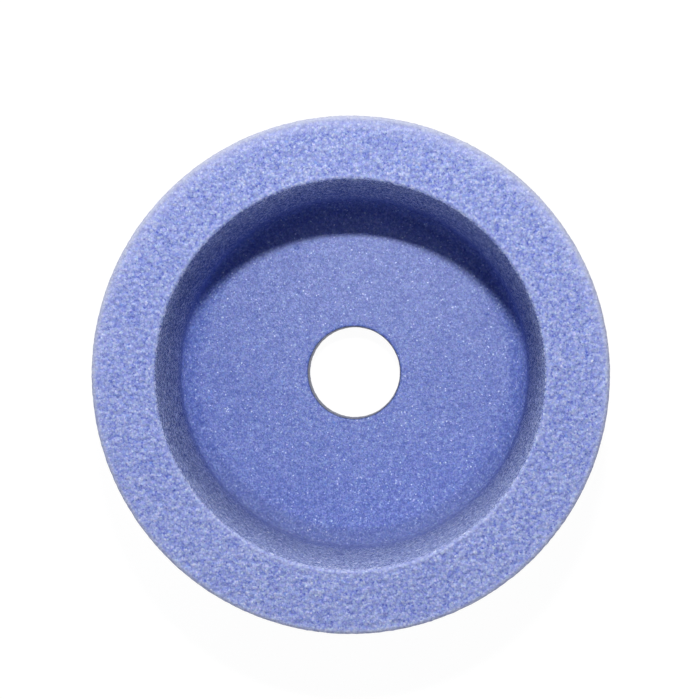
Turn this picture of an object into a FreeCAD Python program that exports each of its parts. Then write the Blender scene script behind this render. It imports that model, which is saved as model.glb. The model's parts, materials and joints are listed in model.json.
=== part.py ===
"""Straight cup grinding wheel: a deep cup of vitrified abrasive, pressed and fired as one piece, then trued.

The wheel stands on its back, with the cup open upwards. The origin is the centre of the back face, and +Z
is the wheel's axis, from the back towards the grinding rim. All sizes are in millimetres.
"""

import FreeCAD, Part
import os
from enum import IntEnum

import Sketcher

# The driving dimensions: name, value and what it measures.
SIZES = [
    ("outer_diameter", 100.0, "outside of the wheel"),
    ("wheel_height", 50.0, "from the back face to the grinding rim"),
    ("bore_diameter", 20.0, "hole for the spindle, through the back"),
    ("rim_width", 12.5, "width of the grinding rim, which is also the wall of the cup"),
    ("back_thickness", 10.0, "floor of the cup, where the wheel is clamped"),
    ("corner_radius", 2.5, "round corner inside the cup, between its floor and its wall"),
    ("rim_outer_chamfer", 0.8, "broken edge of the rim, on the outside"),
    ("rim_inner_round", 0.8, "round edge of the rim, on the inside"),
    ("back_edge_chamfer", 1.0, "broken edge of the back face"),
    ("bore_edge_chamfer", 0.3, "chamfer at both ends of the bore"),
]
NODE = "cup_wheel"
PARTS_FOLDER = "parts"
FULL_TURN = 360.0
MATCH_TOLERANCE = 1e-4


class Point(IntEnum):
    """How a sketch numbers the two ends of a line."""

    START = 1
    END = 2


class Axis(IntEnum):
    """How a sketch numbers its own axes. The horizontal one starts at the sketch's origin."""

    RADIUS = -1


def make_size_sheet(doc):
    """Writes the driving dimensions into a sheet, one row each, for the features to refer to by name."""
    sheet = doc.addObject("Spreadsheet::Sheet", "sizes")
    for row, (name, value, meaning) in enumerate(SIZES, start=1):
        sheet.set(f"A{row}", name)
        sheet.set(f"B{row}", str(value))
        sheet.set(f"C{row}", meaning)
        sheet.setAlias(f"B{row}", name)
    doc.recompute()
    return sheet


def origin_plane(body, role):
    """The body's own origin plane with that role."""
    for feature in body.Origin.OriginFeatures:
        if feature.Role == role:
            return feature
    raise ValueError(f"{body.Label} has no {role}")


def draw_section(body, sheet):
    """Half of the wheel's section: an L whose foot is the back and whose upright is the wall of the cup.

    The sketch stands in the XZ plane, so that its X is the radius and its Y is the height. Its lines run
    anticlockwise, from the bore's lower edge.
    """
    sketch = body.newObject("Sketcher::SketchObject", "wheel_section")
    sketch.AttachmentSupport = [(origin_plane(body, "XZ_Plane"), "")]
    sketch.MapMode = "FlatFace"

    bore_radius = sheet.bore_diameter / 2
    outer_radius = sheet.outer_diameter / 2
    cup_radius = outer_radius - sheet.rim_width
    corners = [
        (bore_radius, 0.0),
        (outer_radius, 0.0),
        (outer_radius, sheet.wheel_height),
        (cup_radius, sheet.wheel_height),
        (cup_radius, sheet.back_thickness),
        (bore_radius, sheet.back_thickness),
    ]
    points = [FreeCAD.Vector(radius, height, 0) for radius, height in corners]
    for start, end in zip(points, points[1:] + points[:1]):
        sketch.addGeometry(Part.LineSegment(start, end), False)
    back_face, outside, rim, cup_wall, cup_floor, bore = lines = range(len(corners))

    for this_line in lines:
        next_line = (this_line + 1) % len(lines)
        sketch.addConstraint(Sketcher.Constraint("Coincident", this_line, Point.END, next_line, Point.START))
    for level_line in (back_face, rim, cup_floor):
        sketch.addConstraint(Sketcher.Constraint("Horizontal", level_line))
    for upright_line in (outside, cup_wall, bore):
        sketch.addConstraint(Sketcher.Constraint("Vertical", upright_line))
    sketch.addConstraint(Sketcher.Constraint("PointOnObject", back_face, Point.START, Axis.RADIUS))

    def measure(direction, first_point, second_point, expression):
        """Dimensions the distance between two points, bound to the sheet."""
        where = (*first_point, *second_point)
        distance = abs(sketch_coordinate(direction, second_point) - sketch_coordinate(direction, first_point))
        number = sketch.addConstraint(Sketcher.Constraint(direction, *where, distance))
        sketch.setExpression(f"Constraints[{number}]", expression)

    def sketch_coordinate(direction, point):
        """Where a point lies along the measured direction."""
        position = sketch.getPoint(*point)
        return position.x if direction == "DistanceX" else position.y

    centre = (Axis.RADIUS, Point.START)
    measure("DistanceX", centre, (back_face, Point.START), "sizes.bore_diameter / 2")
    measure("DistanceX", centre, (back_face, Point.END), "sizes.outer_diameter / 2")
    measure("DistanceX", (rim, Point.END), (rim, Point.START), "sizes.rim_width")
    measure("DistanceY", (outside, Point.START), (outside, Point.END), "sizes.wheel_height")
    measure("DistanceY", (bore, Point.END), (bore, Point.START), "sizes.back_thickness")
    return sketch


def revolve_section(body, sketch):
    """Turns the section a full turn about the wheel's axis, which is the sketch's vertical axis."""
    cup = body.newObject("PartDesign::Revolution", "turned_cup")
    cup.Profile = sketch
    cup.ReferenceAxis = (sketch, ["V_Axis"])
    cup.Angle = FULL_TURN
    body.Document.recompute()
    return cup


def circular_edge(feature, radius, height):
    """Name of the feature's circular edge with that radius, at that height."""
    for number, edge in enumerate(feature.Shape.Edges, start=1):
        curve = edge.Curve
        if not isinstance(curve, Part.Circle):
            continue
        same_radius = abs(curve.Radius - radius) < MATCH_TOLERANCE
        same_height = abs(curve.Center.z - height) < MATCH_TOLERANCE
        if same_radius and same_height:
            return f"Edge{number}"
    raise ValueError(f"{feature.Label} has no edge of radius {radius} at height {height}")


def break_edges(body, kind, name, circles, size_property, size_name):
    """Rounds or chamfers circular edges of the body so far. Each circle is a radius and a height."""
    base = body.Tip
    feature = body.newObject(f"PartDesign::{kind}", name)
    feature.Base = (base, [circular_edge(base, radius, height) for radius, height in circles])
    feature.setExpression(size_property, f"sizes.{size_name}")
    body.Document.recompute()
    return feature


def make_wheel(doc, sheet):
    """The whole wheel, as one body: the turned cup, then its round inside corner and its broken edges."""
    body = doc.addObject("PartDesign::Body", NODE)
    body.Label = NODE
    sketch = draw_section(body, sheet)
    doc.recompute()
    revolve_section(body, sketch)

    outer_radius = sheet.outer_diameter / 2
    cup_radius = outer_radius - sheet.rim_width
    bore_radius = sheet.bore_diameter / 2
    back = 0.0
    floor = sheet.back_thickness
    rim = sheet.wheel_height

    break_edges(body, "Fillet", "cup_corner", [(cup_radius, floor)], "Radius", "corner_radius")
    break_edges(body, "Fillet", "rim_inner_edge", [(cup_radius, rim)], "Radius", "rim_inner_round")
    break_edges(body, "Chamfer", "rim_outer_edge", [(outer_radius, rim)], "Size", "rim_outer_chamfer")
    break_edges(body, "Chamfer", "back_edge", [(outer_radius, back)], "Size", "back_edge_chamfer")
    bore_circles = [(bore_radius, back), (bore_radius, floor)]
    break_edges(body, "Chamfer", "bore_edges", bore_circles, "Size", "bore_edge_chamfer")
    return body


def check_document(doc, body):
    """Stops if a feature failed or the wheel isn't one valid solid."""
    for thing in doc.Objects:
        if "Invalid" in thing.State or "Error" in thing.State:
            raise RuntimeError(f"{thing.Label} failed: {thing.State}")
    shape = body.Shape
    if shape.isNull() or not shape.isValid() or len(shape.Solids) != 1:
        raise RuntimeError(f"{body.Label} is not one valid solid")


def main():
    doc = FreeCAD.newDocument("cup_grinding_wheel")
    sheet = make_size_sheet(doc)
    wheel = make_wheel(doc, sheet)
    check_document(doc, wheel)

    os.makedirs(PARTS_FOLDER, exist_ok=True)
    wheel.Shape.exportStep(os.path.join(PARTS_FOLDER, f"{NODE}.step"))
    box = wheel.Shape.optimalBoundingBox(False)
    print(f"{wheel.Label}: {box.XLength:.2f} x {box.YLength:.2f} x {box.ZLength:.2f} mm")
    print(f"volume {wheel.Shape.Volume:.1f} mm3, {len(wheel.Shape.Faces)} faces")


main()
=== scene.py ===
"""The looks of a straight cup grinding wheel: a deep cup of blue abrasive, pressed and fired in one piece.

Lengths are in metres, in the frame of the solid model: the wheel stands on its back, its axis is Z, and the
cup opens upwards.
"""

import json
import math

import bmesh
import bpy
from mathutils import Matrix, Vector


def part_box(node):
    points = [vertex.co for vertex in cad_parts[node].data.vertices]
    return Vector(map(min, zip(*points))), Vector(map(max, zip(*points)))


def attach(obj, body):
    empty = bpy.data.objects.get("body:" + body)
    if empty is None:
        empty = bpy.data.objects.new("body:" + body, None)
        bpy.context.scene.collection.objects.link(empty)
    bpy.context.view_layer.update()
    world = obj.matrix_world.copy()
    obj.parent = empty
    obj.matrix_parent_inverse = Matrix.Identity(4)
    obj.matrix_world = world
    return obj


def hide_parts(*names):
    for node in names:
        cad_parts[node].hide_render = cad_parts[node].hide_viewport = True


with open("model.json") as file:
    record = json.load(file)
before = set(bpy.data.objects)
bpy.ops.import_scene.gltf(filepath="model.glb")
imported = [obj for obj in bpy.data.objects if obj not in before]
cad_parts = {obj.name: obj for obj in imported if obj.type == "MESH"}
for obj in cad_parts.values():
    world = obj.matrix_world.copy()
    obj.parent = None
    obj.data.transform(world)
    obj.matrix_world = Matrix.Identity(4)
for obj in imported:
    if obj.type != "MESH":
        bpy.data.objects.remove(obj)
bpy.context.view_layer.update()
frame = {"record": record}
MM = 0.001

# The wheel
# Blue fused aluminium oxide grain and a glassy bond, pressed in a die with a core for the cup and a pin
# for the bore, and fired hard. The rim is then trued flat, and its sharp edges are broken.
mounts = {mount["name"]: mount for mount in frame["record"]["mounts"]}
outer_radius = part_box("cup_wheel")[1].x
rim_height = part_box("cup_wheel")[1].z
floor_height = mounts["clamp_seat"]["pos_m"][2]
bore_radius = mounts["bore"]["dims"]["r_mm"] * MM
rim_width = 12.5 * MM
cup_radius = outer_radius - rim_width
corner_radius = 2.5 * MM
rim_inner_round = 0.8 * MM
rim_outer_break = 0.8 * MM
back_break = 1.0 * MM
bore_break = 0.3 * MM
sides_round = 256
corner_steps = 6
round_steps = 4
break_steps = 2
near = 0.01 * MM
upright = 0.9


def select_faces(is_wanted):
    """Selects the faces, in edit mode, that pass a test of their centre and normal."""
    shape = bmesh.from_edit_mesh(wheel.data)
    bpy.ops.mesh.select_mode(type="FACE")
    bpy.ops.mesh.select_all(action="DESELECT")
    for face in shape.faces:
        if is_wanted(face.calc_center_median(), face.normal):
            face.select_set(True)
    bmesh.update_edit_mesh(wheel.data)


def select_rings(*places):
    """Selects the rings of edges, in edit mode, that lie at any of the radius and height pairs."""
    shape = bmesh.from_edit_mesh(wheel.data)
    bpy.ops.mesh.select_mode(type="EDGE")
    bpy.ops.mesh.select_all(action="DESELECT")
    for edge in shape.edges:
        for ring_radius, ring_height in places:
            misses = [(end.co.xy.length - ring_radius, end.co.z - ring_height) for end in edge.verts]
            if all(abs(outward) < near and abs(upward) < near for outward, upward in misses):
                edge.select_set(True)
    bmesh.update_edit_mesh(wheel.data)


bpy.ops.object.select_all(action="DESELECT")
bpy.ops.mesh.primitive_cylinder_add(
    vertices=sides_round,
    radius=outer_radius,
    depth=rim_height,
    end_fill_type="NGON",
    location=(0, 0, rim_height / 2),
)
wheel = bpy.context.object
wheel.name = "abrasive_cup"
bpy.ops.object.transform_apply(location=True, rotation=False, scale=False)
bpy.ops.object.mode_set(mode="EDIT")

select_faces(lambda centre, normal: normal.z > upright)
bpy.ops.mesh.inset(thickness=outer_radius - cup_radius)
bpy.ops.mesh.extrude_region_move(TRANSFORM_OT_translate={"value": (0, 0, floor_height - rim_height)})
bpy.ops.mesh.inset(thickness=cup_radius - bore_radius)
bpy.ops.mesh.delete(type="FACE")
select_faces(lambda centre, normal: normal.z < -upright)
bpy.ops.mesh.inset(thickness=outer_radius - bore_radius)
bpy.ops.mesh.delete(type="FACE")
select_rings((bore_radius, 0), (bore_radius, floor_height))
bpy.ops.mesh.bridge_edge_loops()

select_rings((cup_radius, floor_height))
bpy.ops.mesh.bevel(offset=corner_radius, segments=corner_steps, affect="EDGES")
select_rings((cup_radius, rim_height))
bpy.ops.mesh.bevel(offset=rim_inner_round, segments=round_steps, affect="EDGES")
select_rings((outer_radius, rim_height))
bpy.ops.mesh.bevel(offset=rim_outer_break, segments=break_steps, affect="EDGES")
select_rings((outer_radius, 0))
bpy.ops.mesh.bevel(offset=back_break, segments=break_steps, affect="EDGES")
select_rings((bore_radius, 0), (bore_radius, floor_height))
bpy.ops.mesh.bevel(offset=bore_break, segments=1, affect="EDGES")
bpy.ops.object.mode_set(mode="OBJECT")

# Its skin is as rough as its grain. Trueing tears grains out of the flat of the rim and leaves it open,
# and every other face is closer.
skin_step = 0.32 * MM
grain_size = 0.48 * MM
grain_depth = 0.16 * MM
pit_size = 0.85 * MM
pit_depth = 0.16 * MM
pit_contrast = 4.0
close_share = 0.25
remesh = wheel.modifiers.new("skin", "REMESH")
remesh.mode = "VOXEL"
remesh.voxel_size = skin_step
bpy.ops.object.modifier_apply(modifier="skin")

roughness_group = wheel.vertex_groups.new(name="roughness")
for point in wheel.data.vertices:
    on_land = cup_radius + rim_inner_round < point.co.xy.length < outer_radius - rim_outer_break
    is_trued = on_land and point.co.z > rim_height - near
    roughness_group.add([point.index], 1.0 if is_trued else close_share, "REPLACE")
nominal = [point.co.copy() for point in wheel.data.vertices]


def sink(name, texture, depth):
    """Sinks the skin where the texture is light, up to a depth."""
    sinking = wheel.modifiers.new(name, "DISPLACE")
    sinking.texture = texture
    sinking.texture_coords = "LOCAL"
    sinking.direction = "NORMAL"
    sinking.mid_level = 0.0
    sinking.strength = -depth
    sinking.vertex_group = "roughness"
    bpy.ops.object.modifier_apply(modifier=name)


grains = bpy.data.textures.new("grains", "VORONOI")
grains.noise_scale = grain_size
sink("between_grains", grains, grain_depth)
pits = bpy.data.textures.new("pits", "CLOUDS")
pits.noise_scale = pit_size
pits.noise_depth = 1
pits.contrast = pit_contrast
sink("lost_grains", pits, pit_depth)

# How far each point has sunk, in millimetres, is kept for its colour: the deeper, the darker, as painted
# shade in the hollows.
hollow = wheel.data.attributes.new("hollow", "FLOAT", "POINT")
for point, start in zip(wheel.data.vertices, nominal):
    hollow.data[point.index].value = (point.co - start).length / MM


def thin_out(is_wanted, share):
    """Leaves a share of the faces that pass a test, where the skin needs fewer."""
    bpy.ops.object.mode_set(mode="EDIT")
    select_faces(is_wanted)
    bpy.ops.mesh.decimate(ratio=share)
    bpy.ops.object.mode_set(mode="OBJECT")


# The rim and the bore keep all their faces, and no point of the skin stands out past the trued sizes.
below_rim = rim_height - 1.5 * MM
within_wall = cup_radius + 1 * MM
round_bore = bore_radius + 2 * MM
inside_share = 0.14
outside_share = 0.01
thin_out(
    lambda centre, normal: centre.z < below_rim and round_bore < centre.xy.length < within_wall, inside_share
)
thin_out(lambda centre, normal: centre.z < below_rim and centre.xy.length > within_wall, outside_share)
trued_radius = -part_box("cup_wheel")[0].x
for point in wheel.data.vertices:
    point.co.z = min(max(point.co.z, 0.0), rim_height)
    point.co.xy *= min(1.0, trued_radius / point.co.xy.length)
bpy.ops.object.shade_smooth()

# Its colour goes right through. A torn face shows pale broken grains and deep blue pores, and a moulded one
# is finer and glassier, with bright facets, the brightest of them painted glints. The outer edge is worn
# pale and painted paler on the lamp side as a painted highlight, the cup's corner has painted shade and is
# greyer on its far side, and the bore's wall is dark grey.
pore_blue = (0.06, 0.085, 0.37)
deep_blue = (0.142, 0.181, 0.463)
body_blue = (0.249, 0.296, 0.546)
pale_blue = (0.39, 0.436, 0.642)
broken_white = (0.62, 0.65, 0.735)
sky_blue = (0.12, 0.25, 0.66)
glassy_pore = (0.027, 0.05, 0.255)
glassy_deep = (0.069, 0.108, 0.383)
glassy_blue = (0.128, 0.178, 0.49)
glassy_pale = (0.241, 0.31, 0.616)
pale_facet_and_glint = (0.58, 0.66, 0.87)
painted_glint_white = (0.9, 0.93, 1.0)
pale_wear_and_highlight = (0.52, 0.54, 0.76)
broken_edge_and_highlight = (0.36, 0.37, 0.39)
painted_corner_shade = (0.03, 0.035, 0.09)
far_corner_grey = (0.19, 0.20, 0.26)
bore_dark_grey = (0.05, 0.055, 0.06)


class Wire:
    """The output of a node. A formula on wires and numbers becomes Math nodes."""

    tree = None

    def __init__(self, socket):
        self.socket = socket

    @classmethod
    def node(cls, kind, settings, sockets, output=0):
        """Adds a node: its settings first, then a number, a colour or a wire for each of its sockets."""
        added = cls.tree.nodes.new(kind)
        for name, value in settings.items():
            if name == "stops":
                while len(added.color_ramp.elements) < len(value):
                    added.color_ramp.elements.new(0.5)
                for number, (stop, colour) in enumerate(zip(added.color_ramp.elements, value)):
                    stop.position = number / (len(value) - 1)
                    stop.color = (*colour, 1.0)
            else:
                setattr(added, name, value)
        for name, value in sockets.items():
            if isinstance(value, Wire):
                cls.tree.links.new(value.socket, added.inputs[name])
            elif isinstance(value, tuple) and added.inputs[name].type == "RGBA":
                added.inputs[name].default_value = (*value, 1.0)
            else:
                added.inputs[name].default_value = value
        return cls(added.outputs[output])

    def calculate(self, operation, first, second):
        """A Math node on two wires or numbers."""
        return self.node("ShaderNodeMath", {"operation": operation}, {0: first, 1: second})

    def __add__(self, other):
        return self.calculate("ADD", self, other)

    def __sub__(self, other):
        return self.calculate("SUBTRACT", self, other)

    def __rsub__(self, other):
        return self.calculate("SUBTRACT", other, self)

    def __mul__(self, other):
        return self.calculate("MULTIPLY", self, other)

    def __truediv__(self, other):
        return self.calculate("DIVIDE", self, other)

    def __gt__(self, other):
        return self.calculate("GREATER_THAN", self, other)

    __radd__ = __add__
    __rmul__ = __mul__

    def ramp(self, low, high):
        """Rises smoothly from 0 at one value to 1 at another, which may be the smaller."""
        return self.node(
            "ShaderNodeMapRange",
            {"interpolation_type": "SMOOTHSTEP"},
            {"Value": self, "From Min": low, "From Max": high},
        )


def blend(share, colour, other):
    """One colour changed into another by a share from 0 to 1.

    The sockets go by number, because a Mix node has others of the same names, for numbers and vectors.
    """
    return Wire.node("ShaderNodeMix", {"data_type": "RGBA"}, {0: share, 6: colour, 7: other}, 2)


def shades(tone, *colours):
    """A colour from a scale of evenly spaced ones, the first for a tone of 0 and the last for 1."""
    return Wire.node("ShaderNodeValToRGB", {"stops": colours}, {"Fac": tone})


def chances(place, size):
    """Three random numbers from 0 to 1, each the same all over a grain, for grains packed side by side."""
    colours = Wire.node("ShaderNodeTexVoronoi", {}, {"Vector": place, "Scale": 1 / size}, "Color")
    return [Wire.node("ShaderNodeSeparateColor", {}, {"Color": colours}, channel) for channel in range(3)]


def from_middle(place, size):
    """The distance from the middle of each grain, as a share of its size."""
    return Wire.node("ShaderNodeTexVoronoi", {}, {"Vector": place, "Scale": 1 / size}, "Distance")


def cloudy(place, size, detail=2.0):
    """A soft uneven field about 0.5."""
    return Wire.node("ShaderNodeTexNoise", {}, {"Vector": place, "Scale": 1 / size, "Detail": detail}, 0)


def uneven(field):
    """A field from 0 to 1, moved down so that its middle is 0."""
    return field - 0.5


abrasive = bpy.data.materials.new("blue_abrasive")
abrasive.use_nodes = True
Wire.tree = abrasive.node_tree
shader = abrasive.node_tree.nodes["Principled BSDF"]
place = Wire.node("ShaderNodeTexCoord", {}, {}, "Object")
across, along, height = [
    Wire.node("ShaderNodeSeparateXYZ", {}, {"Vector": place}, axis) for axis in ("X", "Y", "Z")
]
radius = Wire.node("ShaderNodeMath", {"operation": "SQRT"}, {0: across * across + along * along})
sunk = Wire.node("ShaderNodeAttribute", {"attribute_name": "hollow"}, {}, "Fac")

# The outlines of the grains wander, as those of broken crystals do.
wander = 0.5 * MM
wander_width = 0.45 * MM
wander_detail = 1.0
bend = Wire.node(
    "ShaderNodeTexNoise",
    {},
    {"Vector": place, "Scale": 1 / wander_width, "Detail": wander_detail},
    "Color",
)
bend = Wire.node("ShaderNodeVectorMath", {"operation": "SUBTRACT"}, {0: bend, 1: (0.5, 0.5, 0.5)})
bend = Wire.node("ShaderNodeVectorMath", {"operation": "SCALE"}, {0: bend, "Scale": wander})
bent = Wire.node("ShaderNodeVectorMath", {"operation": "ADD"}, {0: place, 1: bend})

grain_width = 0.46 * MM
small_width = 0.30 * MM
fine_width = 0.23 * MM
glint_cell_width = 0.24 * MM
pore_spacing = 0.8 * MM
pore_fade = (0.31, 0.12)
mottle_width = 1.5 * MM
cloud_width = 7 * MM
cloud_detail = 3.0
grain = chances(bent, grain_width)
small = chances(bent, small_width)
fine = chances(bent, fine_width)
glint_cell = chances(place, glint_cell_width)[0]
gap = from_middle(bent, grain_width)
pore = from_middle(bent, pore_spacing).ramp(*pore_fade)
mottle = cloudy(place, mottle_width)
clouds = cloudy(place, cloud_width, cloud_detail)

# Where each part of the wheel fades in, from nothing at the first place to all at the second: the moulded
# faces of the cup, its wall, the foot of that wall, the corner below it, and the wheel's two sides.
cup_fade = (cup_radius + 1.0 * MM, cup_radius + 0.4 * MM)
rim_fade = (rim_height - 0.1 * MM, rim_height - 0.7 * MM)
back_fade = (0.3 * MM, 0.8 * MM)
wall_fade = (floor_height + 1.0 * MM, floor_height + 12.0 * MM)
foot_fade = (floor_height + 0.3 * MM, floor_height + 2.5 * MM)
corner_fade_in = (cup_radius - 4.5 * MM, cup_radius - 2.2 * MM)
corner_fade_out = (cup_radius - 0.3 * MM, cup_radius - 0.8 * MM)
corner_floor_fade_out = (floor_height + 3.5 * MM, floor_height + 1.2 * MM)
lamp_side_fade = (-0.4, 1.0)
far_side_fade = (-0.2, -0.9)
moulded = radius.ramp(*cup_fade) * height.ramp(*rim_fade) * height.ramp(*back_fade)
wall = height.ramp(*wall_fade)
foot = height.ramp(*foot_fade)
corner = radius.ramp(*corner_fade_in) * radius.ramp(*corner_fade_out)
corner_floor = radius.ramp(*corner_fade_in) * height.ramp(*corner_floor_fade_out)
lamp_side = (along / outer_radius).ramp(*lamp_side_fade)
far_side = (along / cup_radius).ramp(*far_side_fade)

# A torn face: how much each thing lightens or darkens it, from the deepest pore to the whitest grain.
torn_tone = 0.585
# Painted light: the rim is lighter on the lamp side, and a little lighter on the far side.
torn_painted_lamp_light = 0.04
torn_painted_far_light = 0.025
torn_grain = 0.345
torn_small = 0.155
torn_mottle = 0.075
torn_clouds = 0.05
torn_white = 0.16
torn_white_above = 0.94
torn_gap = 0.29
torn_pore = 0.26
# Painted shade: the deeper a point has sunk, the darker it is.
sunk_shade = 0.30
torn = shades(
    torn_tone
    + torn_painted_lamp_light * lamp_side
    + torn_painted_far_light * far_side
    + torn_grain * uneven(grain[0])
    + torn_small * uneven(small[0])
    + torn_mottle * uneven(mottle)
    + torn_clouds * uneven(clouds)
    + torn_white * (small[1] > torn_white_above)
    - torn_gap * gap
    - torn_pore * pore
    - sunk_shade * sunk,
    pore_blue, deep_blue, body_blue, pale_blue, broken_white,
)

# A moulded face, in the same way. The speckle is stronger on the wall, most of all away from the lamp: it is
# painted light and shade of the grains' relief, which the lamp lights at a slant, and it is weakest on the
# lamp side, where the wall is in shadow.
speckle_most = 1.9
speckle_lamp_side = 1.1
close_fine = 0.03
close_small = 0.36
close_small_speckle = 0.6
close_grain = 0.24
close_grain_speckle = 0.20
close_mottle = 0.20
painted_relief_speckle = wall * (speckle_most - speckle_lamp_side * lamp_side)
grit = (
    (close_fine + painted_relief_speckle) * uneven(fine[0])
    + (close_small + close_small_speckle * painted_relief_speckle) * uneven(small[1])
    + (close_grain + close_grain_speckle * painted_relief_speckle) * uneven(grain[0])
    + close_mottle * uneven(mottle)
)
close_tone = 0.507
close_wall = 0.005
# Painted light: the wall is lighter on the far side, which faces the lamp.
close_painted_far_light = 0.105
close_clouds = 0.12
# Painted highlights: the brightest small grains are painted as white glints.
dim_painted_glint = 0.12
dim_painted_glint_above = 0.955
bright_painted_glint = 0.32
bright_painted_glint_above = 0.989
close_pore = 0.10
close = shades(
    close_tone
    + wall * (close_wall + close_painted_far_light * far_side)
    + grit
    + close_clouds * uneven(clouds)
    + dim_painted_glint * (glint_cell > dim_painted_glint_above)
    + bright_painted_glint * (glint_cell > bright_painted_glint_above)
    - close_pore * pore
    - sunk_shade * sunk,
    glassy_pore, glassy_deep, glassy_blue, glassy_pale, pale_facet_and_glint,
)

# The far side of the cup's wall and its foot take some of the torn face's paler colour, as painted light,
# and a few grains on the wall are painted white as glints, painted highlights.
painted_light_wall = 0.38
painted_light_foot = 0.55
painted_glint_share = 0.75
painted_glint_above = 0.983
painted_light_share = far_side * (painted_light_wall * wall + painted_light_foot * far_side * foot * (1 - wall))
colour = blend((1 - painted_light_share) * moulded, torn, close)
colour = blend(painted_glint_share * moulded * wall * (grain[1] > painted_glint_above), colour, painted_glint_white)

# Some grains lean to lilac and some to sky blue, and a rare one is bright sky blue.
lean_width = 0.6 * MM
lean_red = 0.26
lean_green = 0.30
blue_width = 0.5 * MM
lean_blue = 0.55
sky_share = 0.45
sky_above = 0.997
lean = uneven(cloudy(place, lean_width))
hue = Wire.node("ShaderNodeCombineXYZ", {}, {
    "X": 1 + lean_red * lean,
    "Y": 1 - lean_green * lean,
    "Z": 1 + lean_blue * uneven(cloudy(place, blue_width)),
})
colour = Wire.node("ShaderNodeVectorMath", {"operation": "MULTIPLY"}, {0: colour, 1: hue})
colour = blend(sky_share * (grain[2] > sky_above), colour, sky_blue)

# Wear and painted light: a pale band and a grey broken edge outside the rim, worn and painted paler on the
# lamp side as a painted highlight; a pale edge inside it, worn and painted paler on the far side as a
# painted highlight; painted shade in the corner of the cup, less on the lamp side; a greyer floor at the far
# side of the cup's corner; and a dark grey wall in the bore.
rim_edge_fade = (rim_height - 2.0 * MM, rim_height - 0.8 * MM)
band_fade = (outer_radius - 4.0 * MM, outer_radius - 0.5 * MM)
outer_edge_fade = (outer_radius - 1.4 * MM, outer_radius - 0.3 * MM)
inner_edge_fade = (cup_radius + 1.8 * MM, cup_radius + 0.4 * MM)
bore_fade = (bore_radius + 0.25 * MM, bore_radius + 0.10 * MM)
band_share = 0.02
band_painted_highlight = 0.34
outer_edge_share = 0.35
outer_edge_painted_highlight = 0.20
inner_edge_share = 0.02
inner_edge_painted_highlight = 0.14
painted_shade_share = 0.08
far_corner_grey_share = 0.22
bore_grey_share = 0.65
at_rim = height.ramp(*rim_edge_fade)
wear_and_highlight_band = at_rim * radius.ramp(*band_fade)
wear_and_highlight_edge = at_rim * radius.ramp(*outer_edge_fade)
inner_edge = at_rim * radius.ramp(*inner_edge_fade)
bore_wall = radius.ramp(*bore_fade)
# Painted highlight: the pale band outside the rim is much paler on the lamp side.
colour = blend(wear_and_highlight_band * (band_share + band_painted_highlight * lamp_side), colour, pale_wear_and_highlight)
# Painted highlight: the grey broken edge is paler on the lamp side.
colour = blend(wear_and_highlight_edge * (outer_edge_share + outer_edge_painted_highlight * lamp_side), colour, broken_edge_and_highlight)
# Painted highlight: the pale inner edge is paler on the far side, which faces the lamp.
colour = blend(inner_edge * (inner_edge_share + inner_edge_painted_highlight * far_side), colour, pale_wear_and_highlight)
# Painted shade in the corner of the cup, less towards the lamp side.
colour = blend(painted_shade_share * (1 - lamp_side) * corner, colour, painted_corner_shade)
colour = blend(far_corner_grey_share * far_side * corner_floor * moulded, colour, far_corner_grey)
colour = blend(bore_grey_share * bore_wall, colour, bore_dark_grey)
Wire.tree.links.new(colour.socket, shader.inputs["Base Color"])

# The flat floor of the cup is glossiest. The grain stands up most on the wall, and least on the floor.
dull = 0.9
seat_gloss = 0.46
seat_fade = (cup_radius - 2.0 * MM, cup_radius - 4.5 * MM)
shine = 0.35
dullness = dull - seat_gloss * (moulded * radius.ramp(*seat_fade))
Wire.tree.links.new(dullness.socket, shader.inputs["Roughness"])
shader.inputs["Specular IOR Level"].default_value = shine

floor_relief = 0.7
wall_relief = 1.2
chip_width = 0.25 * MM
chip_share = 0.5
dimple_width = 0.2 * MM
dimple_share = 0.4
relief_depth = 0.14 * MM
relief_strength = 0.8
roughness = gap + chip_share * from_middle(bent, chip_width) + dimple_share * cloudy(place, dimple_width)
relief = (1 + moulded * (wall_relief * wall - floor_relief)) * roughness
bump = Wire.node(
    "ShaderNodeBump",
    {"invert": True},
    {"Strength": relief_strength, "Distance": relief_depth, "Height": relief},
)
Wire.tree.links.new(bump.socket, shader.inputs["Normal"])
wheel.data.materials.append(abrasive)

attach(wheel, "root")
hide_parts("cup_wheel")

# The camera
# It looks almost straight down into the cup, from a little to one side of the axis.
camera_place = Vector((7.3, 3.35, 350)) * MM
camera_tip = math.radians(0.281)
camera_lean = math.radians(1.4)
lens_length = 80.43
bpy.ops.object.camera_add(location=camera_place, rotation=(camera_tip, camera_lean, 0))
camera = bpy.context.object
camera.data.lens = lens_length
bpy.context.scene.camera = camera

# The floor
# A sheet of paper, which glows white for the camera and keeps a faint shadow of the wheel.
sheet_width = 4
white = (1.0, 1.0, 1.0)
paper_white = (0.85, 0.85, 0.85)
glow_strength = 1.03
glow_share = 0.94
bpy.ops.mesh.primitive_plane_add(size=sheet_width)
floor = bpy.context.object
floor.name = "studio_floor"
paper = bpy.data.materials.new("white_paper")
paper.use_nodes = True
paper.node_tree.nodes.remove(paper.node_tree.nodes["Principled BSDF"])
Wire.tree = paper.node_tree


def looked_at():
    """1 for what the camera sees, directly, mirrored or through glass, and 0 for what only gives light."""
    rays = ("Is Camera Ray", "Is Glossy Ray", "Is Transmission Ray")
    direct, mirrored, through = [Wire.node("ShaderNodeLightPath", {}, {}, ray) for ray in rays]
    return direct + mirrored + through


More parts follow.
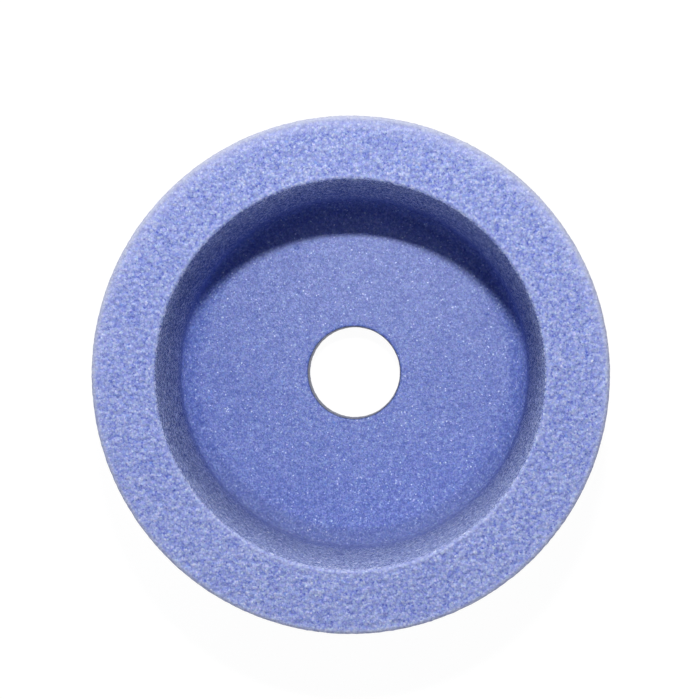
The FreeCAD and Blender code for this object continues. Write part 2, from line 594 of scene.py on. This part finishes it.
matt = Wire.node("ShaderNodeBsdfDiffuse", {}, {"Color": paper_white})
glow = Wire.node("ShaderNodeEmission", {}, {"Color": white, "Strength": glow_strength})
surface = Wire.node("ShaderNodeMixShader", {}, {0: glow_share * looked_at(), 1: matt, 2: glow})
Wire.tree.links.new(surface.socket, paper.node_tree.nodes["Material Output"].inputs["Surface"])
floor.data.materials.append(paper)

# The light
# A small oval lamp near the camera casts the rim's shadow into the cup. Six soft ones stand round the
# wheel at its rim's height, and one behind it and one in front stand higher and light the cup's wall.
middle = Vector((0, 0, rim_height))
key_place = Vector((7.4, 98, 357.5)) * MM
key_width = 28 * MM
key_height = 11 * MM
key_power = 1.10
side_lamps = 6
side_distance = 0.6
side_height = 0.05
side_size = 0.3
side_power = 0.55
full_turn = 360
first_turn = 30
back_place = Vector((-0.19, 0.515, 0.27))
back_size = 0.3
back_power = 1.6
front_place = Vector((-0.12, -0.535, 0.295))
front_size = 0.14
front_power = 0.34
sky_strength = 0.15


def add_lamp(name, place, width, height, power):
    """A round or oval lamp, turned to the wheel."""
    bpy.ops.object.light_add(type="AREA", location=place)
    lamp = bpy.context.object
    lamp.name = name
    lamp.rotation_euler = (middle - place).to_track_quat("-Z", "Y").to_euler()
    lamp.data.shape = "ELLIPSE"
    lamp.data.size = width
    lamp.data.size_y = height
    lamp.data.energy = power
    lamp.visible_camera = False


add_lamp("key_lamp", key_place, key_width, key_height, key_power)
for number in range(side_lamps):
    turn = math.radians(full_turn / side_lamps * number + first_turn)
    side_place = Vector((side_distance * math.cos(turn), side_distance * math.sin(turn), side_height))
    add_lamp(f"side_lamp_{number}", side_place, side_size, side_size, side_power)
add_lamp("back_lamp", back_place, back_size, back_size, back_power)
add_lamp("front_lamp", front_place, front_size, front_size, front_power)

world = bpy.data.worlds.new("studio")
bpy.context.scene.world = world
world.use_nodes = True
Wire.tree = world.node_tree
background = world.node_tree.nodes["Background"]
background.inputs["Color"].default_value = (*white, 1.0)
sky = sky_strength + (1 - sky_strength) * looked_at()
Wire.tree.links.new(sky.socket, background.inputs["Strength"])

bpy.context.scene.view_settings.view_transform = "Standard"
